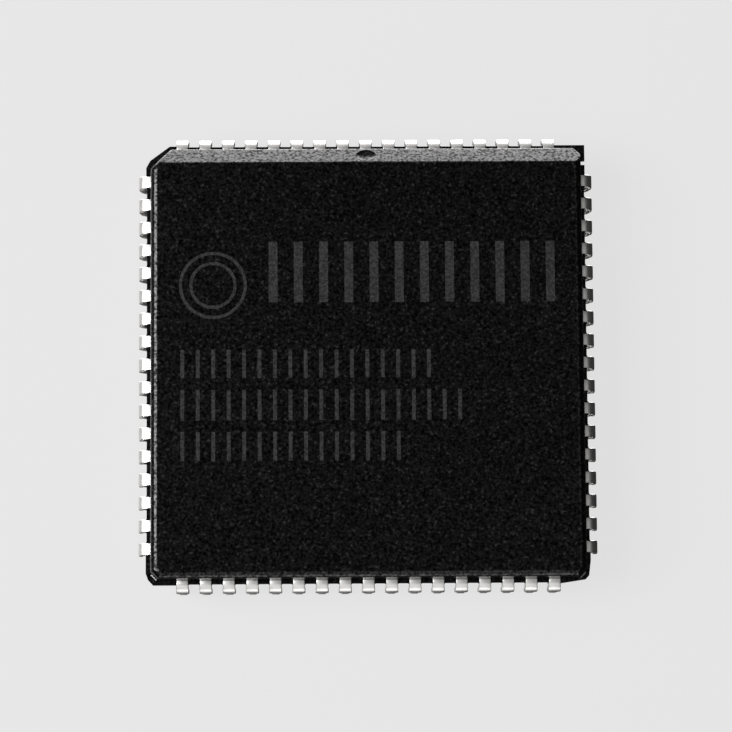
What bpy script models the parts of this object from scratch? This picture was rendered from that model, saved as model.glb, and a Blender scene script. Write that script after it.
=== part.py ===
"""Plastic leaded chip carrier with 68 J-leads, 17 on each side.

The origin is the middle of the seating plane, with Z up. Y points to the edge
with the long pin 1 bevel. Pins count anticlockwise, seen from above, from the
middle of that edge.

The package is one moulding of black epoxy around a stamped lead frame. Most
leads are pieces of their own. The middle leads of each row are stamped in one
with the die paddle, and carry its heat and its ground to the board.
"""
import math
from collections import namedtuple

import bmesh
import bpy
from mathutils import Matrix, Vector

MM = 0.001

# Lead rows
LEADS_PER_SIDE = 17
GROUND_LEADS_PER_SIDE = 3
LEAD_PITCH = 1.27 * MM
METAL_THICKNESS = 0.254 * MM

# The part of a lead outside the moulding
SHOULDER_HEIGHT = 2.86 * MM
SHOULDER_RUN = 0.056 * MM
SHOULDER_WIDTH = 0.64 * MM
SHOULDER_BEND_INSIDE = 0.15 * MM
DAM_BAR_WIDTH = 0.72 * MM
DAM_BAR_LENGTH = 0.35 * MM
FOOT_TAPER = 0.16 * MM
FOOT_WIDTH = 0.43 * MM
FOOT_BEND_OUTSIDE = 0.90 * MM
FOOT_CURL = math.radians(160)
FOOT_LAND_ANGLE = math.radians(20)

# The part of the lead frame inside the moulding
ANCHOR_DEPTH = 0.72 * MM
STAMPED_SLOT = 0.20 * MM
PADDLE_SIDE = 8.4 * MM
PADDLE_DOWNSET = 0.25 * MM
TIP_GAP = 0.6 * MM
FRAME_OVERLAP = 0.12 * MM
TIE_BAR_WIDTH = 0.40 * MM
TIE_BAR_STUB = 0.05 * MM

# Silicon and the glue under it
DIE_LENGTH = 6.6 * MM
DIE_WIDTH = 6.2 * MM
DIE_THICKNESS = 0.38 * MM
GLUE_THICKNESS = 0.03 * MM
GLUE_FILLET = 0.08 * MM

# Moulding
PACKAGE_HEIGHT = 4.38 * MM
CORNER_MARGIN = 1.955 * MM
FLASH_DEPTH = 0.195 * MM
FLASH_END = 0.45 * MM
FLASH_CORNER = 0.04 * MM
WALL_DRAFT = math.radians(4)
TOP_EDGE_RADIUS = 0.30 * MM
INDEX_CHAMFER = 1.14 * MM
CORNER_CHAMFER = 0.40 * MM
PIN_EDGE_BEVEL = 0.87 * MM

# Dimple that marks pin 1
DIMPLE_DIAMETER = 1.14 * MM
DIMPLE_DEPTH = 0.30 * MM

# Underside of the moulding
STANDOFF = 0.62 * MM
POCKET_SIDE_GAP = 0.18 * MM
POCKET_END_GAP = 0.20 * MM
POCKET_ROOM = 0.65 * MM
EJECTOR_DIAMETER = 3.0 * MM
EJECTOR_DEPTH = 0.08 * MM
EJECTOR_INSET = 3.4 * MM

# Space left between two pieces that touch
FIT_GAP = 0.02 * MM

# Facets of the bends and the round features
SHOULDER_BEND_FACETS = 2
FOOT_BEND_FACETS = 2
FOOT_TIP_FACETS = 1
TOP_EDGE_FACETS = 3
ROUND_FACETS = 24

# Places that follow from the sizes above
SIDES = 4
ROW_HALF_SPAN = (LEADS_PER_SIDE - 1) * LEAD_PITCH / 2
FLASH_HALF = ROW_HALF_SPAN + CORNER_MARGIN
WALL_HALF = FLASH_HALF - FLASH_DEPTH
SHOULDER_END = FLASH_HALF + SHOULDER_RUN
LEAD_HALF_SPAN = SHOULDER_END + SHOULDER_BEND_INSIDE + METAL_THICKNESS
LEAD_PLANE = SHOULDER_HEIGHT - METAL_THICKNESS / 2
FAN_START = WALL_HALF - ANCHOR_DEPTH
PADDLE_PLANE = LEAD_PLANE - PADDLE_DOWNSET
PADDLE_TOP = PADDLE_PLANE + METAL_THICKNESS / 2
TIP_LINE = PADDLE_SIDE / 2 + TIP_GAP
TIP_PITCH = PADDLE_SIDE / LEADS_PER_SIDE

# A cut across a strip of sheet metal: its place, the way it heads, its edges
Station = namedtuple("Station", "run height heading left right")


def new_material(name, colour, roughness, metallic=0.0):
    """A material with one Principled shader."""
    material = bpy.data.materials.new(name)
    material.use_nodes = True
    shader = material.node_tree.nodes["Principled BSDF"]
    shader.inputs["Base Color"].default_value = (*colour, 1.0)
    shader.inputs["Roughness"].default_value = roughness
    shader.inputs["Metallic"].default_value = metallic
    return material


def new_object(name, mesh, material=None):
    """Link a mesh to the scene as an object."""
    if material and not mesh.materials:
        mesh.materials.append(material)
    item = bpy.data.objects.new(name, mesh)
    bpy.context.scene.collection.objects.link(item)
    return item


def finished_mesh(name, shape):
    """Turn a bmesh into a mesh whose faces point out."""
    bmesh.ops.recalc_face_normals(shape, faces=shape.faces[:])
    mesh = bpy.data.meshes.new(name)
    shape.to_mesh(mesh)
    shape.free()
    mesh.shade_smooth()
    mesh.set_sharp_from_angle(angle=math.radians(30))
    return mesh


def make_guide(item):
    """Keep an object out of the model, as a shape that only cuts or joins."""
    item.hide_render = True
    item.display_type = "WIRE"
    return item


def combine(target, tool, operation):
    """Add an exact Boolean of two objects to the first one."""
    boolean = target.modifiers.new(tool.name, "BOOLEAN")
    boolean.operation = operation
    boolean.solver = "EXACT"
    boolean.object = make_guide(tool)


def add_box(shape, low, high, place=Matrix.Identity(4)):
    """A box between two corners."""
    low, high = Vector(low), Vector(high)
    size = Matrix.Diagonal((*(high - low), 1))
    middle = Matrix.Translation((low + high) / 2)
    bmesh.ops.create_cube(shape, size=1, matrix=place @ middle @ size)


def add_prism(shape, outline, bottom, top):
    """A flat outline, extruded upwards."""
    points = [shape.verts.new((x, y, bottom)) for x, y in outline]
    made = bmesh.ops.extrude_face_region(shape, geom=[shape.faces.new(points)])
    raised = [item for item in made["geom"] if isinstance(item, bmesh.types.BMVert)]
    bmesh.ops.translate(shape, verts=raised, vec=(0, 0, top - bottom))


def add_strip(shape, stations, place, grow=0.0):
    """Sweep a strip of the frame's sheet metal through its stations.

    A grown strip is larger by that much on every side and at both ends.
    """
    half = METAL_THICKNESS / 2 + grow
    rings = []
    for number, cut in enumerate(stations):
        ahead = Vector((0, math.cos(cut.heading), math.sin(cut.heading)))
        above = Vector((0, -ahead.z, ahead.y))
        end = (number == len(stations) - 1) - (number == 0)
        middle = Vector((0, cut.run, cut.height)) + ahead * grow * end
        corners = (
            (cut.left - grow, half),
            (cut.right + grow, half),
            (cut.right + grow, -half),
            (cut.left - grow, -half),
        )
        ring = [middle + above * up + Vector((across, 0, 0)) for across, up in corners]
        rings.append([shape.verts.new(place @ point) for point in ring])
    for first, second in zip(rings, rings[1:]):
        for corner in range(4):
            after = (corner + 1) % 4
            shape.faces.new((first[corner], first[after], second[after], second[corner]))
    shape.faces.new(rings[0])
    shape.faces.new(rings[-1])


def side_turn(side):
    """Turn from the pin 1 side to another side, anticlockwise from above."""
    return Matrix.Rotation(side * math.tau / SIDES, 4, "Z")


def lead_offset(slot):
    """How far a lead lies along its side, counted the way the pins run."""
    return (slot - (LEADS_PER_SIDE - 1) / 2) * LEAD_PITCH


def lead_place(side, slot):
    """Where a lead stands, with Y out of the package."""
    return side_turn(side) @ Matrix.Translation((-lead_offset(slot), 0, 0))


def pin_number(side, slot):
    """The pin's number, with pin 1 in the middle of the first side."""
    total = SIDES * LEADS_PER_SIDE
    return (side * LEADS_PER_SIDE + slot - LEADS_PER_SIDE // 2) % total + 1


def is_ground_lead(slot):
    """Whether a lead is stamped in one with the die paddle."""
    first = (LEADS_PER_SIDE - GROUND_LEADS_PER_SIDE) // 2
    return first <= slot < first + GROUND_LEADS_PER_SIDE


def centred_station(run, height, heading, width, middle=0.0):
    """A station whose width is shared evenly to both sides of its middle."""
    return Station(run, height, heading, middle - width / 2, middle + width / 2)


def finger_stations(slot):
    """The flat finger inside the moulding, which fans in to the paddle."""
    offset = lead_offset(slot)
    shift = offset - offset * TIP_PITCH / LEAD_PITCH
    return [
        centred_station(TIP_LINE, LEAD_PLANE, 0, TIP_PITCH - STAMPED_SLOT, shift),
        centred_station(FAN_START, LEAD_PLANE, 0, SHOULDER_WIDTH),
    ]


def shoulder_stations():
    """The lead's bend from level, outside the moulding, to straight down."""
    radius = SHOULDER_BEND_INSIDE + METAL_THICKNESS / 2
    stations = []
    for facet in range(SHOULDER_BEND_FACETS + 1):
        share = facet / SHOULDER_BEND_FACETS
        turn = share * math.pi / 2
        run = SHOULDER_END + radius * math.sin(turn)
        height = LEAD_PLANE - radius + radius * math.cos(turn)
        width = SHOULDER_WIDTH + (DAM_BAR_WIDTH - SHOULDER_WIDTH) * share
        stations.append(centred_station(run, height, -turn, width))
    return stations


def leg_stations():
    """The cut of the dam bar, and the leg's taper to the width of the foot."""
    down = -math.pi / 2
    bend_end = shoulder_stations()[-1]
    cut = bend_end.height - DAM_BAR_LENGTH
    return [
        centred_station(bend_end.run, cut, down, DAM_BAR_WIDTH),
        centred_station(bend_end.run, cut - FOOT_TAPER, down, FOOT_WIDTH),
    ]


def foot_point(turn, radius):
    """A point of the foot's bend, whose land lies on the seating plane."""
    run = LEAD_HALF_SPAN - FOOT_BEND_OUTSIDE + radius * math.cos(turn)
    height = FOOT_BEND_OUTSIDE * math.cos(FOOT_LAND_ANGLE / 2) - radius * math.sin(turn)
    return run, height


def foot_stations():
    """The foot, curled under the moulding, with a flat land to stand on."""
    land_start = (math.pi - FOOT_LAND_ANGLE) / 2
    land_end = land_start + FOOT_LAND_ANGLE
    turns = [land_start * facet / FOOT_BEND_FACETS for facet in range(FOOT_BEND_FACETS + 1)]
    for facet in range(FOOT_TIP_FACETS + 1):
        turns.append(land_end + (FOOT_CURL - land_end) * facet / FOOT_TIP_FACETS)
    stations = []
    for turn in turns:
        run, height = foot_point(turn, FOOT_BEND_OUTSIDE - METAL_THICKNESS / 2)
        stations.append(centred_station(run, height, -math.pi / 2 - turn, FOOT_WIDTH))
    return stations


def outer_stations():
    """The whole of a lead that stands outside the moulding."""
    return shoulder_stations() + leg_stations() + foot_stations()


def slot_stations(slot):
    """The slot that a finger and its shoulder leave in the moulding."""
    exit_run = LEAD_HALF_SPAN + METAL_THICKNESS
    way_out = centred_station(exit_run, LEAD_PLANE, 0, SHOULDER_WIDTH)
    return finger_stations(slot) + [way_out]


def ground_finger_stations(slot):
    """A ground lead's finger, which steps down and runs into the paddle."""
    tip, anchor = finger_stations(slot)
    edge = PADDLE_SIDE / 2
    inside = tip._replace(run=edge - FRAME_OVERLAP, height=PADDLE_PLANE)
    step_start = tip._replace(run=edge + FRAME_OVERLAP, height=PADDLE_PLANE)
    return [inside, step_start, tip, anchor]


def chamfer_at(corner):
    """The chamfer of a corner, counted anticlockwise from +X +Y."""
    return INDEX_CHAMFER if corner % SIDES == 1 else CORNER_CHAMFER


def tie_bar_stations(corner):
    """A tie bar, from the paddle's corner along the diagonal to the package's."""
    paddle_corner = PADDLE_SIDE / math.sqrt(2)
    end = (2 * WALL_HALF - chamfer_at(corner)) / math.sqrt(2) + TIE_BAR_STUB
    return [
        centred_station(paddle_corner - TIE_BAR_WIDTH, PADDLE_PLANE, 0, TIE_BAR_WIDTH),
        centred_station(paddle_corner + FRAME_OVERLAP, PADDLE_PLANE, 0, TIE_BAR_WIDTH),
        centred_station(paddle_corner + TIP_GAP, LEAD_PLANE, 0, TIE_BAR_WIDTH),
        centred_station(end, LEAD_PLANE, 0, TIE_BAR_WIDTH),
    ]


def make_leads(material):
    """The separate leads, each its own piece, parented to its row."""
    meshes = {}
    for side in range(SIDES):
        row = bpy.data.objects.new(f"row_{side + 1}", None)
        row.rotation_euler.z = side * math.tau / SIDES
        bpy.context.scene.collection.objects.link(row)
        for slot in range(LEADS_PER_SIDE):
            if is_ground_lead(slot):
                continue
            if slot not in meshes:
                shape = bmesh.new()
                stations = finger_stations(slot) + outer_stations()
                add_strip(shape, stations, Matrix.Identity(4))
                meshes[slot] = finished_mesh(f"lead_shape_{slot + 1}", shape)
            lead = new_object(f"lead_{pin_number(side, slot):02d}", meshes[slot], material)
            lead.parent = row
            lead.location.x = -lead_offset(slot)


def make_paddle_frame(name, material=None, grow=0.0):
    """The die paddle with its tie bars and ground leads, joined into one."""
    half_side = PADDLE_SIDE / 2 + grow
    half_thickness = METAL_THICKNESS / 2 + grow
    plate = bmesh.new()
    add_box(
        plate,
        (-half_side, -half_side, PADDLE_PLANE - half_thickness),
        (half_side, half_side, PADDLE_PLANE + half_thickness),
    )
    frame = new_object(name, finished_mesh(name, plate), material)

    bars = bmesh.new()
    for corner in range(SIDES):
        diagonal = Matrix.Rotation((corner - 0.5) * math.tau / SIDES, 4, "Z")
        add_strip(bars, tie_bar_stations(corner), diagonal, grow)
    bars_name = f"{name}_tie_bars"
    combine(frame, new_object(bars_name, finished_mesh(bars_name, bars)), "UNION")

    leads = bmesh.new()
    for side in range(SIDES):
        for slot in filter(is_ground_lead, range(LEADS_PER_SIDE)):
            outside = slot_stations(slot)[-1:] if grow else outer_stations()
            stations = ground_finger_stations(slot) + outside
            add_strip(leads, stations, lead_place(side, slot), grow)
    leads_name = f"{name}_ground_leads"
    combine(frame, new_object(leads_name, finished_mesh(leads_name, leads)), "UNION")
    return frame


def add_die(shape, grow=0.0):
    """The silicon die, on top of its glue."""
    bottom = PADDLE_TOP + GLUE_THICKNESS + 2 * FIT_GAP
    length, width = DIE_LENGTH / 2 + grow, DIE_WIDTH / 2 + grow
    top = bottom + DIE_THICKNESS
    add_box(shape, (-length, -width, bottom - grow), (length, width, top + grow))


def add_glue(shape, grow=0.0):
    """The layer of glue between the paddle and the die."""
    bottom = PADDLE_TOP + FIT_GAP
    length = DIE_LENGTH / 2 + GLUE_FILLET + grow
    width = DIE_WIDTH / 2 + GLUE_FILLET + grow
    top = bottom + GLUE_THICKNESS
    add_box(shape, (-length, -width, bottom - grow), (length, width, top + grow))


def wall_half_at(height):
    """Half the moulding's width at a height, drafted away from the leads."""
    return WALL_HALF - abs(height - SHOULDER_HEIGHT) * math.tan(WALL_DRAFT)


def package_outline(half):
    """The moulding's outline at one height, a square with cut corners."""
    points = []
    for corner in range(SIDES):
        turn = Matrix.Rotation(corner * math.tau / SIDES, 2)
        short = half - chamfer_at(corner)
        points += [turn @ Vector((half, short)), turn @ Vector((short, half))]
    return points


def moulded_block():
    """The drafted block of the moulding, with its top edges rounded."""
    shape = bmesh.new()
    rings = []
    for height in (STANDOFF, SHOULDER_HEIGHT, PACKAGE_HEIGHT):
        outline = package_outline(wall_half_at(height))
        rings.append([shape.verts.new((x, y, height)) for x, y in outline])
    for lower, upper in zip(rings, rings[1:]):
        for point in range(len(lower)):
            after = (point + 1) % len(lower)
            shape.faces.new((lower[point], lower[after], upper[after], upper[point]))
    shape.faces.new(rings[0])
    roof = shape.faces.new(rings[-1])
    bmesh.ops.bevel(
        shape,
        geom=roof.edges[:],
        offset=TOP_EDGE_RADIUS,
        segments=TOP_EDGE_FACETS,
        profile=0.5,
        affect="EDGES",
        clamp_overlap=True,
    )
    return shape


def cut_pin_edge(shape):
    """Slice the long 45 degree bevel off the edge at pin 1."""
    inner_edge = wall_half_at(PACKAGE_HEIGHT) - PIN_EDGE_BEVEL
    cut = bmesh.ops.bisect_plane(
        shape,
        geom=shape.verts[:] + shape.edges[:] + shape.faces[:],
        plane_co=(0, inner_edge, PACKAGE_HEIGHT),
        plane_no=(0, 1, 1),
        clear_outer=True,
    )
    rim = [item for item in cut["geom_cut"] if isinstance(item, bmesh.types.BMEdge)]
    bmesh.ops.edgeloop_fill(shape, edges=rim)


def flash_shape():
    """The thin resin between the leads, which runs out towards the corners."""
    end = ROW_HALF_SPAN + FLASH_END
    rim = WALL_HALF + FLASH_CORNER
    outline = []
    for side in range(SIDES):
        turn = Matrix.Rotation(side * math.tau / SIDES, 2)
        for x, y in (
            (WALL_HALF - chamfer_at(side), rim),
            (end, FLASH_HALF),
            (-end, FLASH_HALF),
            (chamfer_at(side + 1) - WALL_HALF, rim),
        ):
            outline.append(turn @ Vector((x, y)))
    shape = bmesh.new()
    add_prism(shape, outline, SHOULDER_HEIGHT - METAL_THICKNESS, SHOULDER_HEIGHT)
    return shape


def pocket_end():
    """Where the pockets end, clear of the tips of the curled feet."""
    return foot_point(FOOT_CURL, FOOT_BEND_OUTSIDE)[0] - POCKET_END_GAP


def pockets_shape(first_side):
    """The pockets for the feet of two rows that face each other."""
    half_width = FOOT_WIDTH / 2 + POCKET_SIDE_GAP
    tip_top = foot_point(FOOT_CURL, FOOT_BEND_OUTSIDE - METAL_THICKNESS)[1]
    low = (-half_width, pocket_end(), 0)
    high = (half_width, LEAD_HALF_SPAN, tip_top + POCKET_ROOM)
    shape = bmesh.new()
    for side in (first_side, first_side + 2):
        for slot in range(LEADS_PER_SIDE):
            add_box(shape, low, high, lead_place(side, slot))
    return shape


def slots_shape():
    """The slots that hold the separate leads."""
    shape = bmesh.new()
    for side in range(SIDES):
        for slot in range(LEADS_PER_SIDE):
            if not is_ground_lead(slot):
                add_strip(shape, slot_stations(slot), lead_place(side, slot), FIT_GAP)
    return shape


def dimple_shape():
    """A ball that leaves a round dimple square to the pin 1 bevel."""
    radius = (DIMPLE_DIAMETER**2 / 4 + DIMPLE_DEPTH**2) / (2 * DIMPLE_DEPTH)
    face_y = wall_half_at(PACKAGE_HEIGHT) - PIN_EDGE_BEVEL / 2
    face_z = PACKAGE_HEIGHT - PIN_EDGE_BEVEL / 2
    lift = (radius - DIMPLE_DEPTH) / math.sqrt(2)
    centre = Matrix.Translation((0, face_y + lift, face_z + lift))
    shape = bmesh.new()
    bmesh.ops.create_uvsphere(
        shape,
        u_segments=ROUND_FACETS,
        v_segments=ROUND_FACETS // 2,
        radius=radius,
        matrix=centre @ Matrix.Rotation(-math.pi / 4, 4, "X"),
    )
    return shape


def ejector_shape():
    """Two shallow round marks that the ejector pins leave underneath."""
    shape = bmesh.new()
    place = pocket_end() - EJECTOR_INSET
    for direction in (-1, 1):
        bmesh.ops.create_cone(
            shape,
            cap_ends=True,
            segments=ROUND_FACETS,
            radius1=EJECTOR_DIAMETER / 2,
            radius2=EJECTOR_DIAMETER / 2,
            depth=2 * EJECTOR_DEPTH,
            matrix=Matrix.Translation((direction * place, direction * place, STANDOFF)),
        )
    return shape


def cavity_shape(add_piece):
    """The space that a piece takes up in the moulding, with its gap."""
    shape = bmesh.new()
    add_piece(shape, FIT_GAP)
    return shape


def make_moulding(material):
    """The black moulding, with a close fit around all that it holds."""
    block = moulded_block()
    cut_pin_edge(block)
    body = new_object("moulded_body", finished_mesh("moulded_body", block), material)
    flash = new_object("flash_plate", finished_mesh("flash_plate", flash_shape()))
    combine(body, flash, "UNION")
    # Pockets of two rows may meet at a corner, so each pair of rows has its own cut
    cuts = {
        "foot_pockets_1_3": pockets_shape(0),
        "foot_pockets_2_4": pockets_shape(1),
        "lead_slots": slots_shape(),
        "glue_cavity": cavity_shape(add_glue),
        "die_cavity": cavity_shape(add_die),
        "dimple_ball": dimple_shape(),
        "ejector_marks": ejector_shape(),
    }
    for name, shape in cuts.items():
        combine(body, new_object(name, finished_mesh(name, shape)), "DIFFERENCE")
    combine(body, make_paddle_frame("frame_cavity", grow=FIT_GAP), "DIFFERENCE")


def make_inner_piece(name, add_piece, material):
    """A piece that lies sealed in the moulding."""
    shape = bmesh.new()
    add_piece(shape)
    new_object(name, finished_mesh(name, shape), material)


def build():
    """Make every piece of the chip."""
    for item in list(bpy.data.objects):
        bpy.data.objects.remove(item, do_unlink=True)

    epoxy = new_material("black_moulded_epoxy", (0.012, 0.012, 0.013), 0.62)
    tin = new_material("tin_plated_copper_alloy", (0.72, 0.72, 0.71), 0.32, 1.0)
    silicon = new_material("polished_silicon", (0.16, 0.17, 0.20), 0.15, 0.6)
    glue = new_material("silver_filled_epoxy", (0.55, 0.55, 0.53), 0.5, 0.3)

    make_leads(tin)
    make_paddle_frame("die_paddle", tin)
    make_inner_piece("die_attach", add_glue, glue)
    make_inner_piece("silicon_die", add_die, silicon)
    make_moulding(epoxy)


build()
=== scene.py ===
import math

import bmesh
import bpy
from mathutils import Matrix, Vector


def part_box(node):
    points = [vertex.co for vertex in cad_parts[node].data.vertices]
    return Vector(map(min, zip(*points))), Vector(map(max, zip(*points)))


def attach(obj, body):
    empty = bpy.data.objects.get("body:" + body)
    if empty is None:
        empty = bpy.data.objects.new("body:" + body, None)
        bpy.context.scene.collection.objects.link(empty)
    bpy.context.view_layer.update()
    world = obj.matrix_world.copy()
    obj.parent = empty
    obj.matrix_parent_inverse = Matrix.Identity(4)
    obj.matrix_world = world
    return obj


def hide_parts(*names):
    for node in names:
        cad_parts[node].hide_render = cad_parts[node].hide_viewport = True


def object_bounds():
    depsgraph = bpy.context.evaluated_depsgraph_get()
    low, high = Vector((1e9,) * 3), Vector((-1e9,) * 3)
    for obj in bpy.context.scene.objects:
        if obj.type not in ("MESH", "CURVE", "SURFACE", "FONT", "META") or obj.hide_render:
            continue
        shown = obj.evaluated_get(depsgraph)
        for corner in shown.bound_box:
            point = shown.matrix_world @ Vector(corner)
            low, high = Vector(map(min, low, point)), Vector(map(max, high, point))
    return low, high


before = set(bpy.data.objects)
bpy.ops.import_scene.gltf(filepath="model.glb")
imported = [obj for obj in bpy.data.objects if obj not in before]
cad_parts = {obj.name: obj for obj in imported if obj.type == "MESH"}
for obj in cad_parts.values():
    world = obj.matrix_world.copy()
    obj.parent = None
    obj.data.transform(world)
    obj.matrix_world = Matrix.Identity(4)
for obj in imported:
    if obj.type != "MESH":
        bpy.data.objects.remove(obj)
cad_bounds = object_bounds()

# J-leads
# Each lead is stamped from a strip of copper alloy, with a flat finger that fans in to the die.
# Once the resin has set round the fingers, the leads are cut off their dam bar, bent down and
# curled under the body. The outside is plated with matte tin.
MM = 0.001
SIDES = 4
LEADS_PER_SIDE = 17
LEAD_PITCH = 1.27 * MM
METAL = 0.254 * MM
METAL_EDGE_RADIUS = 0.035 * MM
TIP_WIDTH = 0.294 * MM
TIP_PITCH = 0.494 * MM
FINGER_FAN_END = 11.2 * MM
SHOULDER_WIDTH = 0.64 * MM
SHOULDER_BEND_RADIUS = 0.51 * MM
SHOULDER_BEND_STEPS = 10
DAM_BAR_WIDTH = 0.72 * MM
DAM_BAR_LENGTH = 0.35 * MM
FOOT_TAPER = 0.16 * MM
FOOT_WIDTH = 0.43 * MM
FOOT_BEND_OUTSIDE = 0.90 * MM
FOOT_LAND = math.radians(20)
FOOT_CURL = math.radians(160)
FOOT_BEND_STEPS = 10
FOOT_TIP_STEPS = 7
LEAD_SMOOTH_ANGLE = math.radians(24)

# Pin 3 stands in the row at the bevelled edge, so its box gives the places along Y and Z.
lead_low, lead_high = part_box("lead_03")
lead_tip = lead_low.y
lead_reach = lead_high.y
lead_plane = lead_high.z - METAL / 2
leg_top = lead_plane - SHOULDER_BEND_RADIUS
shoulder_end = lead_reach - METAL / 2 - SHOULDER_BEND_RADIUS
foot_radius = FOOT_BEND_OUTSIDE - METAL / 2
foot_centre_y = lead_reach - FOOT_BEND_OUTSIDE
foot_centre_z = FOOT_BEND_OUTSIDE * math.cos(FOOT_LAND / 2)


def pick(test, kind="FACE"):
    """In edit mode, select only the faces, edges or corners that pass a test."""
    mesh = bmesh.from_edit_mesh(bpy.context.object.data)
    bpy.ops.mesh.select_mode(type=kind)
    bpy.ops.mesh.select_all(action="DESELECT")
    for item in {"FACE": mesh.faces, "EDGE": mesh.edges, "VERT": mesh.verts}[kind]:
        item.select_set(test(item))
    bmesh.update_edit_mesh(bpy.context.object.data)


def begin_shape(name, size=(1, 1, 1)):
    """Name and size the primitive that was just added, settle its place in its mesh, edit it."""
    item = bpy.context.object
    item.name = item.data.name = name
    item.scale = size
    bpy.ops.object.transform_apply(location=True, rotation=True, scale=True)
    bpy.ops.object.mode_set(mode="EDIT")
    return item


def end_shape(smooth_angle=math.radians(30)):
    """Turn the faces outwards, leave edit mode and shade the shape."""
    bpy.ops.mesh.select_all(action="SELECT")
    bpy.ops.mesh.normals_make_consistent(inside=False)
    bpy.ops.object.mode_set(mode="OBJECT")
    bpy.ops.object.shade_smooth_by_angle(angle=smooth_angle)


def choose(*items):
    """Select only these objects, with the last one active."""
    bpy.ops.object.select_all(action="DESELECT")
    for item in items:
        item.select_set(True)
    bpy.context.view_layer.objects.active = items[-1]


def copy_of(item, name):
    """A copy of an object with a mesh of its own, selected and active."""
    choose(item)
    bpy.ops.object.duplicate()
    twin = bpy.context.object
    twin.name = twin.data.name = name
    return twin


def extrude(move, widen=1.0):
    """Extrude what is selected, and scale the new end across the strip."""
    bpy.ops.mesh.extrude_region_move(TRANSFORM_OT_translate={"value": move})
    bpy.ops.transform.resize(value=(widen, 1, 1), center_override=(0, 0, 0))


def bend(angle, centre_y, centre_z, steps, widen=1.0):
    """Bend the strip downwards about a line across it."""
    for _ in range(steps):
        bpy.ops.mesh.spin(
            steps=1, angle=angle / steps, center=(0, centre_y, centre_z), axis=(1, 0, 0)
        )
        bpy.ops.transform.resize(value=(widen ** (1 / steps), 1, 1), center_override=(0, 0, 0))


bpy.ops.object.select_all(action="DESELECT")
bpy.ops.mesh.primitive_plane_add(
    size=1, location=(0, lead_tip, lead_plane), rotation=(math.pi / 2, 0, 0)
)
formed_lead = begin_shape("formed_lead", (TIP_WIDTH, METAL, 1))
pick(lambda corner: True, "VERT")
bpy.ops.mesh.bevel(offset=METAL_EDGE_RADIUS, segments=2, affect="VERTICES")
pick(lambda face: True)
extrude((0, FINGER_FAN_END - lead_tip, 0), SHOULDER_WIDTH / TIP_WIDTH)
extrude((0, shoulder_end - FINGER_FAN_END, 0))
dam_bar_share = DAM_BAR_WIDTH / SHOULDER_WIDTH
bend(math.pi / 2, shoulder_end, leg_top, SHOULDER_BEND_STEPS, dam_bar_share)
extrude((0, 0, -DAM_BAR_LENGTH))
extrude((0, 0, -FOOT_TAPER), FOOT_WIDTH / DAM_BAR_WIDTH)
extrude((0, 0, foot_centre_z - (leg_top - DAM_BAR_LENGTH - FOOT_TAPER)))
turn_to_land = (math.pi - FOOT_LAND) / 2
bend(turn_to_land, foot_centre_y, foot_centre_z, FOOT_BEND_STEPS)
bend(FOOT_LAND, foot_centre_y, foot_centre_z, 1)
bend(FOOT_CURL - turn_to_land - FOOT_LAND, foot_centre_y, foot_centre_z, FOOT_TIP_STEPS)
end_shape(LEAD_SMOOTH_ANGLE)


def linear(hex_colour):
    """A colour written as sRGB hex, turned to linear values with full alpha."""
    shares = [int(hex_colour[place:place + 2], 16) / 255 for place in (1, 3, 5)]
    values = [v / 12.92 if v <= 0.04045 else ((v + 0.055) / 1.055) ** 2.4 for v in shares]
    return (*values, 1.0)


def add_node(tree, kind, settings, links=None):
    """Add a shader node, set its values and link its inputs."""
    node = tree.nodes.new(kind)
    for name, value in settings.items():
        if isinstance(name, int) or name in node.inputs:
            node.inputs[name].default_value = value
        else:
            setattr(node, name, value)
    for name, source in (links or {}).items():
        tree.links.new(source, node.inputs[name])
    return node


def new_finish(name):
    """A new material with its node tree, its shader and its object coordinates."""
    material = bpy.data.materials.new(name)
    material.use_nodes = True
    tree = material.node_tree
    shader = tree.nodes["Principled BSDF"]
    place = tree.nodes.new("ShaderNodeTexCoord").outputs["Object"]
    return material, tree, shader, place


# Matte tin plating: a soft, pale grey metal with a fine crystalline grain, so that its
# reflections are blurred and slightly uneven. The grain, 5 microns across on the real
# plating, is drawn 60 microns across, which is the finest that shows.
TIN_GRAIN = 0.06 * MM
TIN_CLOUD = 0.45 * MM
tin, tree, shader, place = new_finish("matte_tin_plating")
cloud = add_node(tree, "ShaderNodeTexNoise", {
    "Scale": 1 / TIN_CLOUD, "Detail": 3.0}, {"Vector": place})
grain = add_node(tree, "ShaderNodeTexNoise", {
    "Scale": 1 / TIN_GRAIN, "Detail": 2.0}, {"Vector": place})
tone = add_node(tree, "ShaderNodeMix", {
    "data_type": "RGBA", 6: linear("#d4d3d1"), 7: linear("#ebeae8")}, {0: cloud.outputs["Fac"]})
blur = add_node(tree, "ShaderNodeMapRange", {
    "To Min": 0.32, "To Max": 0.46}, {"Value": grain.outputs["Fac"]})
relief = add_node(tree, "ShaderNodeBump", {
    "Strength": 0.5, "Distance": 0.004 * MM}, {"Height": grain.outputs["Fac"]})
tree.links.new(tone.outputs[2], shader.inputs["Base Color"])
tree.links.new(blur.outputs["Result"], shader.inputs["Roughness"])
tree.links.new(relief.outputs["Normal"], shader.inputs["Normal"])
shader.inputs["Metallic"].default_value = 1.0

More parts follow.
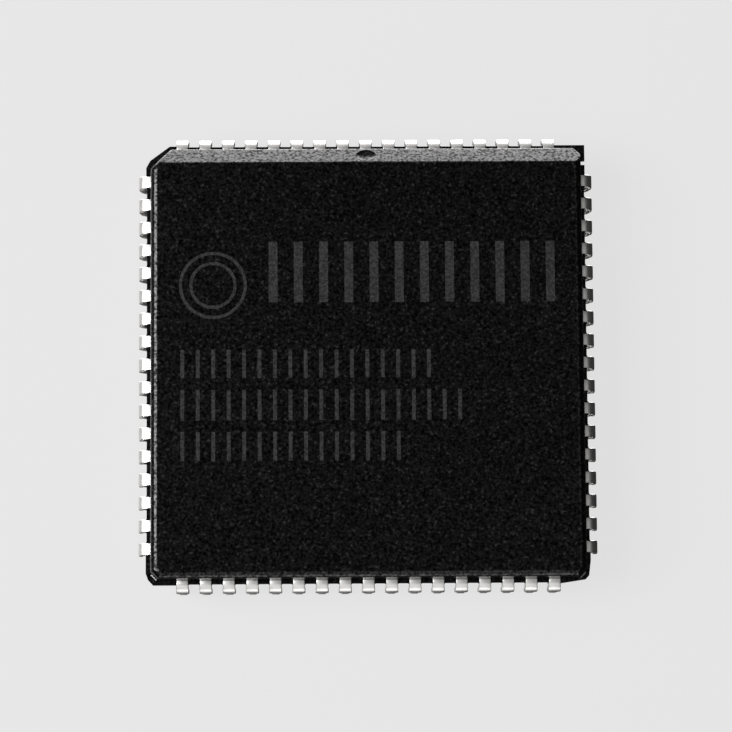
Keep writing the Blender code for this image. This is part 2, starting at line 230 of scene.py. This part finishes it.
# Bare copper alloy where the dam bar was cut off and at the cut end of the foot. It was
# sheared after plating, so it is darker than the tin, with drag lines from the punch.
SHEAR_LINE = 0.03 * MM
bare_alloy, tree, shader, place = new_finish("sheared_copper_alloy")
lines = add_node(tree, "ShaderNodeTexNoise", {
    "Scale": 1 / SHEAR_LINE, "Detail": 2.0}, {"Vector": place})
tone = add_node(tree, "ShaderNodeMix", {
    "data_type": "RGBA", 6: linear("#4a423c"), 7: linear("#7a6c62")}, {0: lines.outputs["Fac"]})
relief = add_node(tree, "ShaderNodeBump", {
    "Strength": 0.6, "Distance": 0.006 * MM}, {"Height": lines.outputs["Fac"]})
tree.links.new(tone.outputs[2], shader.inputs["Base Color"])
tree.links.new(relief.outputs["Normal"], shader.inputs["Normal"])
shader.inputs["Metallic"].default_value = 1.0
shader.inputs["Roughness"].default_value = 0.5


def is_sheared(face):
    """Whether a face is a cut flank of the dam bar or the cut end of the foot."""
    middle = face.calc_center_median()
    at_dam_bar = leg_top - DAM_BAR_LENGTH < middle.z < leg_top
    at_foot_end = middle.y < foot_centre_y - 0.8 * foot_radius and middle.z < foot_centre_z
    faces_sideways = abs(face.normal.x) > 0.6
    faces_up = face.normal.z > 0.8
    return (at_dam_bar and faces_sideways) or (at_foot_end and faces_up)


formed_lead.data.materials.append(tin)
formed_lead.data.materials.append(bare_alloy)
bpy.ops.object.mode_set(mode="EDIT")
pick(is_sheared)
formed_lead.active_material_index = 1
bpy.ops.object.material_slot_assign()
bpy.ops.object.mode_set(mode="OBJECT")


def fan_tip(slot):
    """How far a finger's tip leans towards the middle of its row."""
    return (slot - LEADS_PER_SIDE // 2) * (LEAD_PITCH - TIP_PITCH)


def is_tip(face):
    """Whether a face is the end of the finger, nearest to the die."""
    faces_die = face.normal.y < -0.9
    return faces_die and face.calc_center_median().y < lead_tip + METAL_EDGE_RADIUS


ground_leads = []
for slot in range(LEADS_PER_SIDE):
    for side in range(SIDES):
        pin = (side * LEADS_PER_SIDE + slot - LEADS_PER_SIDE // 2) % (SIDES * LEADS_PER_SIDE) + 1
        node_name = f"lead_{pin:02d}"
        lead = copy_of(formed_lead, f"j_lead_{pin:02d}")
        bpy.ops.object.mode_set(mode="EDIT")
        pick(is_tip)
        bpy.ops.transform.translate(value=(fan_tip(slot), 0, 0))
        bpy.ops.object.mode_set(mode="OBJECT")
        turn = Matrix.Rotation(side * math.tau / SIDES, 4, "Z")
        across = -(slot - LEADS_PER_SIDE // 2) * LEAD_PITCH
        lead.matrix_world = turn @ Matrix.Translation((across, 0, 0))
        if node_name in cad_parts:
            bpy.ops.object.transform_apply(location=True, rotation=True, scale=True)
            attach(lead, "root")
            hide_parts(node_name)
        else:
            ground_leads.append(lead)

# Die paddle
# The paddle that carries the die is stamped in one with its tie bars and the middle leads of
# each row, and set down a little below the fingers. The resin hides all but the leads' ends.
PADDLE_SIDE = 8.4 * MM
PADDLE_DOWNSET = 0.25 * MM
PADDLE_CORNER_RADIUS = 0.3 * MM
FRAME_OVERLAP = 0.12 * MM
TIE_BAR_WIDTH = 0.40 * MM
TIE_BAR_STEP = 0.60 * MM
# Both ends are measured from the middle of the chip, along the diagonal.
TIE_BAR_END = 16.595 * MM
INDEX_TIE_BAR_END = 16.07 * MM

paddle_plane = lead_plane - PADDLE_DOWNSET
step_run = PADDLE_SIDE / 2 + FRAME_OVERLAP
for lead in ground_leads:
    choose(lead)
    place_of_lead = lead.matrix_world.copy()
    lead.matrix_world = Matrix.Identity(4)
    bpy.ops.object.mode_set(mode="EDIT")
    pick(is_tip)
    bpy.ops.mesh.extrude_region_move(
        TRANSFORM_OT_translate={"value": (0, step_run - lead_tip, -PADDLE_DOWNSET)}
    )
    bpy.ops.mesh.extrude_region_move(
        TRANSFORM_OT_translate={"value": (0, -2 * FRAME_OVERLAP, 0)}
    )
    bpy.ops.object.mode_set(mode="OBJECT")
    lead.matrix_world = place_of_lead
    bpy.ops.object.transform_apply(location=True, rotation=True, scale=True)

paddle_corner = PADDLE_SIDE / math.sqrt(2)
tie_bars = []
for corner in range(SIDES):
    bpy.ops.object.select_all(action="DESELECT")
    bpy.ops.mesh.primitive_plane_add(
        size=1,
        location=(0, paddle_corner - TIE_BAR_WIDTH, paddle_plane),
        rotation=(math.pi / 2, 0, 0),
    )
    tie_bar = begin_shape("tie_bar", (TIE_BAR_WIDTH, METAL, 1))
    pick(lambda face: True)
    bar_end = INDEX_TIE_BAR_END if corner == 1 else TIE_BAR_END
    extrude((0, TIE_BAR_WIDTH + FRAME_OVERLAP, 0))
    extrude((0, TIE_BAR_STEP - FRAME_OVERLAP, PADDLE_DOWNSET))
    extrude((0, bar_end - paddle_corner - TIE_BAR_STEP, 0))
    end_shape()
    tie_bar.matrix_world = Matrix.Rotation((corner - 0.5) * math.tau / SIDES, 4, "Z")
    bpy.ops.object.transform_apply(location=True, rotation=True, scale=True)
    tie_bars.append(tie_bar)

bpy.ops.object.select_all(action="DESELECT")
bpy.ops.mesh.primitive_cube_add(size=1, location=(0, 0, paddle_plane))
paddle_frame = begin_shape("paddle_frame", (PADDLE_SIDE, PADDLE_SIDE, METAL))
paddle_frame.data.materials.append(tin)
paddle_frame.data.materials.append(bare_alloy)
pick(lambda edge: abs(edge.verts[0].co.z - edge.verts[1].co.z) > METAL / 2, "EDGE")
bpy.ops.mesh.bevel(offset=PADDLE_CORNER_RADIUS, segments=4, affect="EDGES")
end_shape()
choose(*tie_bars, *ground_leads)
bpy.ops.object.join()
arms = bpy.context.object


def combine(target, tool, operation):
    """Apply an exact Boolean of two objects to the first, and delete the second."""
    choose(target)
    bpy.ops.object.modifier_add(type="BOOLEAN")
    target.modifiers[-1].operation = operation
    target.modifiers[-1].object = tool
    bpy.ops.object.modifier_apply(modifier=target.modifiers[-1].name)
    bpy.data.objects.remove(tool)


combine(paddle_frame, arms, "UNION")
bpy.data.objects.remove(formed_lead)
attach(paddle_frame, "root")
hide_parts("die_paddle")

# Die and glue
# The silicon die is sawn from a wafer and glued to the paddle with a silver-filled epoxy, which
# squeezes out a little round it. Both are sealed in the resin and keep their plain solids.
DIE_BLOCK = 0.9 * MM
SILVER_FLAKE = 0.03 * MM

# Polished silicon: the face of the die is a dark mirror under a thin glassy coat, with the
# blocks of its circuits, 0.9 mm across, just showing as a change of tone.
polished_silicon, tree, shader, place = new_finish("polished_silicon")
blocks = add_node(tree, "ShaderNodeTexVoronoi", {
    "distance": "CHEBYCHEV", "Scale": 1 / DIE_BLOCK}, {"Vector": place})
tone = add_node(tree, "ShaderNodeMix", {
    "data_type": "RGBA", 6: linear("#3c3f4c"), 7: linear("#5c6172")},
    {0: blocks.outputs["Distance"]})
tree.links.new(tone.outputs[2], shader.inputs["Base Color"])
shader.inputs["Metallic"].default_value = 0.6
shader.inputs["Roughness"].default_value = 0.12
silicon_die = bpy.data.objects["silicon_die"]
silicon_die.data.materials.clear()
silicon_die.data.materials.append(polished_silicon)

# Silver-filled epoxy: a pale grey glue full of silver flakes, which give it a fine metallic
# sparkle. The flakes, 10 microns across, are drawn 30 microns across.
silver_epoxy, tree, shader, place = new_finish("silver_filled_epoxy")
flakes = add_node(tree, "ShaderNodeTexNoise", {
    "Scale": 1 / SILVER_FLAKE, "Detail": 2.0}, {"Vector": place})
tone = add_node(tree, "ShaderNodeMix", {
    "data_type": "RGBA", 6: linear("#8e8d89"), 7: linear("#d0cfca")}, {0: flakes.outputs["Fac"]})
tree.links.new(tone.outputs[2], shader.inputs["Base Color"])
shader.inputs["Metallic"].default_value = 0.5
shader.inputs["Roughness"].default_value = 0.45
die_attach = bpy.data.objects["die_attach"]
die_attach.data.materials.clear()
die_attach.data.materials.append(silver_epoxy)

# Moulding
# One block of black epoxy, transfer-moulded round the die and the frame in a spark-eroded mould.
# Its walls taper away from the parting plane at the leads. The long bevel, the dimple and the
# cut corner mark pin 1, and the resin that ran between the leads up to the dam bar stays there.
WALL_HALF = 11.92 * MM
WALL_DRAFT = math.radians(4)
STANDOFF = 0.62 * MM
CORNER_CHAMFER = 0.40 * MM
INDEX_CHAMFER = 1.14 * MM
TOP_EDGE_RADIUS = 0.39 * MM
TOP_EDGE_STEPS = 6
PIN_EDGE_BEVEL = 0.87 * MM
MOULD_EDGE_RADIUS = 0.09 * MM
MOULD_CREASE_ANGLE = math.radians(30)
MOULD_SMOOTH_ANGLE = math.radians(35)
DIMPLE_DIAMETER = 1.16 * MM
DIMPLE_DEPTH = 0.17 * MM
DIMPLE_STEPS = 128
RESIN_RIM_HALF = 12.15 * MM
RESIN_RIM_INSET = 0.008 * MM
RESIN_SLOT_DEPTH = 0.5 * MM
RESIN_GAP_DEPTH = 0.045 * MM
RESIN_GAP_RADIUS = 0.09 * MM
# The corners of the rim are broken off along these lines, in mm, each from one point to another
# with the part that goes on its right.
RESIN_RIM_TRIMS = (
    ((-10.85, 12.15), (-11.93, 11.35)),
    ((-11.93, 11.35), (-12.15, 10.95)),
    ((-12.15, -11.50), (-12.02, -11.86)),
    ((-12.02, -11.86), (-11.75, -12.15)),
    ((10.55, -12.15), (11.86, -11.95)),
    ((11.86, -11.95), (12.05, -11.74)),
    ((12.05, -11.74), (12.15, -10.90)),
)
GATE_NOTCH_START = 11.03 * MM
GATE_NOTCH_END = 11.26 * MM
POCKET_CLEARANCE = 0.18 * MM
POCKET_WIDTH = FOOT_WIDTH + 2 * POCKET_CLEARANCE
POCKET_END = 10.63 * MM
POCKET_TOP = 1.31 * MM
EJECTOR_DIAMETER = 3.0 * MM
EJECTOR_DEPTH = 0.08 * MM
EJECTOR_PLACE = 7.23 * MM
EJECTOR_STEPS = 64
CUT_THRESHOLD = 0.0001 * MM
SAME_PLACE = 0.001 * MM

parting = lead_plane + METAL / 2
roof = cad_bounds[1][2]

# Moulded epoxy: a nearly black resin filled with silica grit, with the fine, even roughness of a
# spark-eroded mould. Here and there the colour is painted paler in a speck, as a painted glint
# of the grain, and the same specks also get more shine. The real grain is 30 to 60 microns
# across and the filler up to 100; the grain and the specks are drawn 120 and 160 microns across,
# so they show.
EROSION_GRAIN = 0.12 * MM
GLINT_SPECK = 0.16 * MM
epoxy, tree, shader, place = new_finish("moulded_epoxy")
grain = add_node(tree, "ShaderNodeTexNoise", {
    "Scale": 1 / EROSION_GRAIN, "Detail": 3.0, "Roughness": 0.6}, {"Vector": place})
speck = add_node(tree, "ShaderNodeTexNoise", {
    "Scale": 1 / GLINT_SPECK, "Detail": 1.0}, {"Vector": place})
# Painted glints: where the specks are, the colour is painted paler.
painted_glint_share = add_node(tree, "ShaderNodeMapRange", {
    "From Min": 0.64, "From Max": 0.78}, {"Value": speck.outputs["Fac"]})
grain_share = add_node(tree, "ShaderNodeMapRange", {
    "interpolation_type": "SMOOTHSTEP", "From Min": 0.38, "From Max": 0.70},
    {"Value": grain.outputs["Fac"]})
resin_tone = add_node(tree, "ShaderNodeMix", {
    "data_type": "RGBA", 6: linear("#000000"), 7: linear("#0b0b0b")},
    {0: grain_share.outputs["Result"]})
# The resin's colour, with the painted glints of the specks mixed in.
tone = add_node(tree, "ShaderNodeMix", {
    "data_type": "RGBA", 7: linear("#202020")},
    {0: painted_glint_share.outputs["Result"], 6: resin_tone.outputs[2]})
shine = add_node(tree, "ShaderNodeMapRange", {
    "From Min": 0.35, "From Max": 0.65, "To Min": 0.04, "To Max": 0.38},
    {"Value": speck.outputs["Fac"]})
blur = add_node(tree, "ShaderNodeMapRange", {
    "To Min": 0.16, "To Max": 0.28}, {"Value": grain.outputs["Fac"]})
relief = add_node(tree, "ShaderNodeBump", {
    "Strength": 1.0, "Distance": 0.009 * MM}, {"Height": grain.outputs["Fac"]})
tree.links.new(tone.outputs[2], shader.inputs["Base Color"])
tree.links.new(shine.outputs["Result"], shader.inputs["Specular IOR Level"])
tree.links.new(blur.outputs["Result"], shader.inputs["Roughness"])
tree.links.new(relief.outputs["Normal"], shader.inputs["Normal"])

bpy.ops.object.select_all(action="DESELECT")
bpy.ops.mesh.primitive_cube_add(size=1, location=(0, 0, (STANDOFF + roof) / 2))
moulding = begin_shape("moulding", (2 * WALL_HALF, 2 * WALL_HALF, roof - STANDOFF))
moulding.data.materials.append(epoxy)
bpy.ops.mesh.bisect(plane_co=(0, 0, parting), plane_no=(0, 0, 1), threshold=CUT_THRESHOLD)
for level in (STANDOFF, roof):
    pick(lambda corner: abs(corner.co.z - level) < SAME_PLACE, "VERT")
    share = 1 - abs(level - parting) * math.tan(WALL_DRAFT) / WALL_HALF
    bpy.ops.transform.resize(value=(share, share, 1), center_override=(0, 0, 0))


def is_upright(edge):
    """Whether an edge runs up a wall."""
    return abs(edge.verts[0].co.z - edge.verts[1].co.z) > METAL


def at_index_corner(edge):
    """Whether an edge lies at the corner that is cut off as an index."""
    middle = (edge.verts[0].co + edge.verts[1].co) / 2
    return middle.x < 0 < middle.y


pick(lambda edge: is_upright(edge) and at_index_corner(edge), "EDGE")
bpy.ops.mesh.bevel(offset=INDEX_CHAMFER, segments=1, affect="EDGES")
pick(lambda edge: is_upright(edge) and not at_index_corner(edge), "EDGE")
bpy.ops.mesh.bevel(offset=CORNER_CHAMFER, segments=1, affect="EDGES")
pick(lambda edge: min(corner.co.z for corner in edge.verts) > roof - SAME_PLACE, "EDGE")
bpy.ops.mesh.bevel(offset=TOP_EDGE_RADIUS, segments=TOP_EDGE_STEPS, affect="EDGES")

roof_half = WALL_HALF - (roof - parting) * math.tan(WALL_DRAFT)
pin_edge = Vector((0, roof_half - PIN_EDGE_BEVEL, roof))
bpy.ops.mesh.select_all(action="SELECT")
bpy.ops.mesh.bisect(
    plane_co=pin_edge,
    plane_no=(0, 1, 1),
    threshold=CUT_THRESHOLD,
    use_fill=True,
    clear_outer=True,
)
pick(lambda edge: edge.is_manifold and edge.calc_face_angle() > MOULD_CREASE_ANGLE, "EDGE")
bpy.ops.mesh.bevel(offset=MOULD_EDGE_RADIUS, segments=2, affect="EDGES")
end_shape(MOULD_SMOOTH_ANGLE)

bpy.ops.object.select_all(action="DESELECT")
bpy.ops.mesh.primitive_cube_add(size=1, location=(0, 0, lead_plane))
resin_rim = begin_shape(
    "resin_rim", (2 * RESIN_RIM_HALF, 2 * RESIN_RIM_HALF, METAL - 2 * RESIN_RIM_INSET)
)
resin_rim.data.materials.append(epoxy)
for start, end in RESIN_RIM_TRIMS:
    start, end = Vector((*start, 0)) * MM, Vector((*end, 0)) * MM
    bpy.ops.mesh.select_all(action="SELECT")
    bpy.ops.mesh.bisect(
        plane_co=start,
        plane_no=(end - start).cross(Vector((0, 0, 1))).normalized(),
        threshold=CUT_THRESHOLD,
        use_fill=True,
        clear_outer=True,
    )
end_shape()


def cutters(name, make_one, places):
    """Copy one cutter to many places on the four sides, and join the copies."""
    first = make_one()
    rows = []
    for number, (side, along) in enumerate(places):
        twin = copy_of(first, f"{name}_{number}")
        turn = Matrix.Rotation(side * math.tau / SIDES, 4, "Z")
        twin.matrix_world = turn @ Matrix.Translation((along, 0, 0))
        bpy.ops.object.transform_apply(location=True, rotation=True, scale=True)
        rows.append(twin)
    bpy.data.objects.remove(first)
    choose(*rows)
    bpy.ops.object.join()
    return bpy.context.object


def box_cutter(low, high):
    """A box between two corners, to cut with."""
    bpy.ops.object.select_all(action="DESELECT")
    low, high = Vector(low), Vector(high)
    bpy.ops.mesh.primitive_cube_add(size=1, location=(low + high) / 2)
    item = begin_shape("box_cutter", high - low)
    end_shape()
    return item


def round_cutter(kind, radius, location, **settings):
    """A cylinder or a ball, to cut with."""
    bpy.ops.object.select_all(action="DESELECT")
    kind(radius=radius, location=location, **settings)
    item = begin_shape("round_cutter")
    end_shape()
    return item


lead_places = [
    (side, (slot - LEADS_PER_SIDE // 2) * LEAD_PITCH)
    for side in range(SIDES) for slot in range(LEADS_PER_SIDE)
]
gap_places = [
    (side, (slot + 0.5 - LEADS_PER_SIDE // 2) * LEAD_PITCH)
    for side in range(SIDES) for slot in range(LEADS_PER_SIDE - 1)
]
lead_slots = cutters("lead_slot", lambda: box_cutter(
    (-SHOULDER_WIDTH / 2, WALL_HALF - RESIN_SLOT_DEPTH, lead_plane - METAL),
    (SHOULDER_WIDTH / 2, lead_reach, lead_plane + METAL)), lead_places)
combine(resin_rim, lead_slots, "DIFFERENCE")


def gap_cutter():
    """The hollow edge of the resin between two leads, rounded where it climbs their sides."""
    half_gap = (LEAD_PITCH - SHOULDER_WIDTH) / 2
    hollow = RESIN_RIM_HALF - RESIN_GAP_DEPTH
    item = box_cutter(
        (-half_gap, hollow, lead_plane - METAL), (half_gap, lead_reach, lead_plane + METAL)
    )
    bpy.ops.object.mode_set(mode="EDIT")
    pick(lambda edge: is_upright(edge) and edge.verts[0].co.y < hollow + SAME_PLACE, "EDGE")
    bpy.ops.mesh.bevel(offset=RESIN_GAP_RADIUS, segments=5, affect="EDGES")
    bpy.ops.object.mode_set(mode="OBJECT")
    return item


combine(resin_rim, cutters("resin_gap", gap_cutter, gap_places), "DIFFERENCE")
combine(resin_rim, box_cutter(
    (WALL_HALF, GATE_NOTCH_START, lead_plane - METAL),
    (lead_reach, GATE_NOTCH_END, lead_plane + METAL)), "DIFFERENCE")
combine(moulding, resin_rim, "UNION")

for first_side in (0, 1):
    pockets = cutters("foot_pocket", lambda: box_cutter(
        (-POCKET_WIDTH / 2, POCKET_END, -METAL),
        (POCKET_WIDTH / 2, lead_reach, POCKET_TOP)),
        [(side, along) for side, along in lead_places if side % 2 == first_side])
    combine(moulding, pockets, "DIFFERENCE")

dimple_radius = (DIMPLE_DIAMETER ** 2 / 4 + DIMPLE_DEPTH ** 2) / (2 * DIMPLE_DEPTH)
bevel_outer = Vector((0, roof_half, roof - PIN_EDGE_BEVEL))
dimple_rise = Vector((0, 1, 1)).normalized() * (dimple_radius - DIMPLE_DEPTH)
combine(moulding, round_cutter(
    bpy.ops.mesh.primitive_uv_sphere_add,
    dimple_radius,
    (pin_edge + bevel_outer) / 2 + dimple_rise,
    segments=DIMPLE_STEPS,
    ring_count=DIMPLE_STEPS // 2), "DIFFERENCE")
for corner in (-1, 1):
    combine(moulding, round_cutter(
        bpy.ops.mesh.primitive_cylinder_add,
        EJECTOR_DIAMETER / 2,
        (corner * EJECTOR_PLACE, corner * EJECTOR_PLACE, STANDOFF),
        depth=2 * EJECTOR_DEPTH,
        vertices=EJECTOR_STEPS), "DIFFERENCE")

# Laser marks
# The marks on the top are burnt in with a laser, which bleaches the resin to grey and takes
# about ten microns off it. They are plain: two rings, a row of upright bars and three of ticks.
MARK_DEPTH = 0.012 * MM
RING_CENTRE = (-8.43 * MM, 4.13 * MM)
RING_RADII = (1.86 * MM, 1.30 * MM)
RING_LINE = 0.18 * MM
RING_STEPS = 96
BAR_WIDTH = 0.50 * MM
BAR_PITCH = 1.38 * MM
TICK_WIDTH = 0.22 * MM
TICK_PITCH = 0.84 * MM
# Each row is given as where it starts, its lower and upper edge, and how many marks it has.
BAR_ROW = (-5.39 * MM, 3.17 * MM, 6.53 * MM, 12)
TICK_ROWS = (
    (-10.21 * MM, -0.98 * MM, 0.58 * MM, 17),
    (-10.21 * MM, -3.30 * MM, -1.62 * MM, 19),
    (-10.21 * MM, -5.52 * MM, -3.92 * MM, 15),
)

# Laser-marked epoxy: the same resin, bleached to a soft grey, with the grain of the mould
# still in it, so that the marks look a little worn.
marked_epoxy, tree, shader, place = new_finish("laser_marked_epoxy")
grain = add_node(tree, "ShaderNodeTexNoise", {
    "Scale": 1 / EROSION_GRAIN, "Detail": 3.0, "Roughness": 0.6}, {"Vector": place})
grain_share = add_node(tree, "ShaderNodeMapRange", {
    "interpolation_type": "SMOOTHSTEP", "From Min": 0.36, "From Max": 0.66},
    {"Value": grain.outputs["Fac"]})
tone = add_node(tree, "ShaderNodeMix", {
    "data_type": "RGBA", 6: linear("#111111"), 7: linear("#2a2a2a")},
    {0: grain_share.outputs["Result"]})
relief = add_node(tree, "ShaderNodeBump", {
    "Strength": 1.0, "Distance": 0.008 * MM}, {"Height": grain.outputs["Fac"]})
tree.links.new(tone.outputs[2], shader.inputs["Base Color"])
tree.links.new(relief.outputs["Normal"], shader.inputs["Normal"])
shader.inputs["Roughness"].default_value = 0.7
shader.inputs["Specular IOR Level"].default_value = 0.12


def mark(shapes):
    """Burn shapes into the top of the moulding, and give their floors the marked finish."""
    for shape in shapes:
        shape.data.materials.append(marked_epoxy)
    choose(*shapes)
    if len(shapes) > 1:
        bpy.ops.object.join()
    choose(moulding)
    bpy.ops.object.modifier_add(type="BOOLEAN")
    moulding.modifiers[-1].material_mode = "TRANSFER"
    moulding.modifiers[-1].object = shapes[-1]
    bpy.ops.object.modifier_apply(modifier=moulding.modifiers[-1].name)
    bpy.data.objects.remove(shapes[-1])


def upright_row(start, low, high, count, width, pitch):
    """A row of upright bars or ticks, modelled once and copied."""
    first = box_cutter(
        (start, low, roof - MARK_DEPTH), (start + width, high, roof + MARK_DEPTH)
    )
    row = [first]
    for number in range(1, count):
        twin = copy_of(first, f"mark_{number}")
        bpy.ops.transform.translate(value=(number * pitch, 0, 0))
        bpy.ops.object.transform_apply(location=True, rotation=True, scale=True)
        row.append(twin)
    return row


for radius in RING_RADII:
    ring = round_cutter(
        bpy.ops.mesh.primitive_cylinder_add,
        radius,
        (*RING_CENTRE, roof),
        depth=2 * MARK_DEPTH,
        vertices=RING_STEPS)
    combine(ring, round_cutter(
        bpy.ops.mesh.primitive_cylinder_add,
        radius - RING_LINE,
        (*RING_CENTRE, roof),
        depth=4 * MARK_DEPTH,
        vertices=RING_STEPS), "DIFFERENCE")
    mark([ring])
mark(upright_row(*BAR_ROW, BAR_WIDTH, BAR_PITCH))
for row in TICK_ROWS:
    mark(upright_row(*row, TICK_WIDTH, TICK_PITCH))

# The shading of the large flat faces is kept even up to their rounded edges.
choose(moulding)
bpy.ops.object.mode_set(mode="EDIT")
end_shape(MOULD_SMOOTH_ANGLE)
bpy.ops.object.modifier_add(type="WEIGHTED_NORMAL")
moulding.modifiers[-1].keep_sharp = True
bpy.ops.object.modifier_apply(modifier=moulding.modifiers[-1].name)
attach(moulding, "root")
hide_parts("moulded_body")

# Floor
# A plain pale card that the chip lies on, wide enough to be all that the camera sees. It gives
# off some light of its own, as card on a light table does, so the shadows on it stay faint.
FLOOR_SIDE = 3000 * MM
FLOOR_GLOW = 0.725

pale_card, tree, shader, place = new_finish("pale_card")
shader.inputs["Base Color"].default_value = linear("#2a2a2a")
shader.inputs["Roughness"].default_value = 0.9
shader.inputs["Emission Color"].default_value = linear("#ffffff")
shader.inputs["Emission Strength"].default_value = FLOOR_GLOW
bpy.ops.object.select_all(action="DESELECT")
bpy.ops.mesh.primitive_plane_add(size=FLOOR_SIDE)
floor = begin_shape("floor")
bpy.ops.mesh.subdivide(number_cuts=3)
end_shape()
floor.data.materials.append(pale_card)
floor.visible_glossy = False

# Camera
# It looks down from almost straight above, a little from the side opposite the bevelled edge,
# through a long lens. Its place is in mm, its turns are in degrees and its lens is in mm.
CAMERA_PLACE = (-3.1546, -21.8671, 174.887)
CAMERA_TURNS = (7.1919, -1.0222, -0.2876)
CAMERA_LENS = 155.08
CAMERA_FILM_WIDTH = 36
CAMERA_NEAREST = 10 * MM
CAMERA_FARTHEST = 10000 * MM

bpy.ops.object.camera_add(location=Vector(CAMERA_PLACE) * MM)
camera = bpy.context.object
camera.rotation_mode = "ZYX"
camera.rotation_euler = [math.radians(turn) for turn in CAMERA_TURNS]
camera.data.sensor_width = CAMERA_FILM_WIDTH
camera.data.lens = CAMERA_LENS
camera.data.clip_start = CAMERA_NEAREST
camera.data.clip_end = CAMERA_FARTHEST
bpy.context.scene.camera = camera
bpy.context.scene.view_settings.view_transform = "Standard"

# Light
# A soft box stands on the left, with pale reflectors round the bench: a bright one low behind
# the bevelled edge and a dim one over it, two in front, one low on the left and one high on the
# right. Hardly any light comes from straight overhead, so the top of the moulding stays dark.
SOFT_BOX_DISTANCE = 320 * MM
SOFT_BOX_HEIGHT_ANGLE = math.radians(44)
SOFT_BOX_SIZE = 240 * MM
SOFT_BOX_POWER = 2.5
ROOM_LIGHT = 0.03
# Each reflector is given as its turn from the bevelled edge and its angle above the floor, the
# half angles inside which it is full and outside which it is dark, and its brightness.
REFLECTORS = (
    (0, -28, 18, 42, 6.0),
    (0, 26, 8, 30, 0.7),
    (90, -50, 20, 45, 0.7),
    (180, -8, 8, 26, 2.1),
    (180, 38, 12, 28, 1.1),
    (-90, 62, 8, 24, 0.5),
    (0, 88, 5, 50, 0.06),
)

bpy.ops.object.light_add(
    type="AREA",
    location=(
        -SOFT_BOX_DISTANCE * math.cos(SOFT_BOX_HEIGHT_ANGLE),
        0,
        SOFT_BOX_DISTANCE * math.sin(SOFT_BOX_HEIGHT_ANGLE),
    ),
    rotation=(0, SOFT_BOX_HEIGHT_ANGLE - math.pi / 2, 0),
)
soft_box = bpy.context.object
soft_box.data.size = SOFT_BOX_SIZE
soft_box.data.energy = SOFT_BOX_POWER
soft_box.visible_camera = False

world = bpy.data.worlds.new("studio")
bpy.context.scene.world = world
world.use_nodes = True
studio = world.node_tree
gaze = studio.nodes.new("ShaderNodeTexCoord").outputs["Generated"]
brightness = None
for turn, height_angle, inner, outer, radiance in REFLECTORS:
    rise = math.radians(height_angle)
    towards = Vector((0, math.cos(rise), math.sin(rise)))
    towards.rotate(Matrix.Rotation(math.radians(turn), 3, "Z"))
    facing = add_node(studio, "ShaderNodeVectorMath", {
        "operation": "DOT_PRODUCT", 1: towards}, {0: gaze})
    reflector = add_node(studio, "ShaderNodeMapRange", {
        "interpolation_type": "SMOOTHSTEP",
        "From Min": math.cos(math.radians(outer)),
        "From Max": math.cos(math.radians(inner)),
        "To Max": radiance}, {"Value": facing.outputs["Value"]})
    together = add_node(studio, "ShaderNodeMath", {
        "operation": "ADD", 0: ROOM_LIGHT}, {1: reflector.outputs["Result"]})
    if brightness:
        studio.links.new(brightness, together.inputs[0])
    brightness = together.outputs["Value"]
studio.nodes["Background"].inputs["Color"].default_value = (1, 1, 1, 1)
studio.links.new(brightness, studio.nodes["Background"].inputs["Strength"])
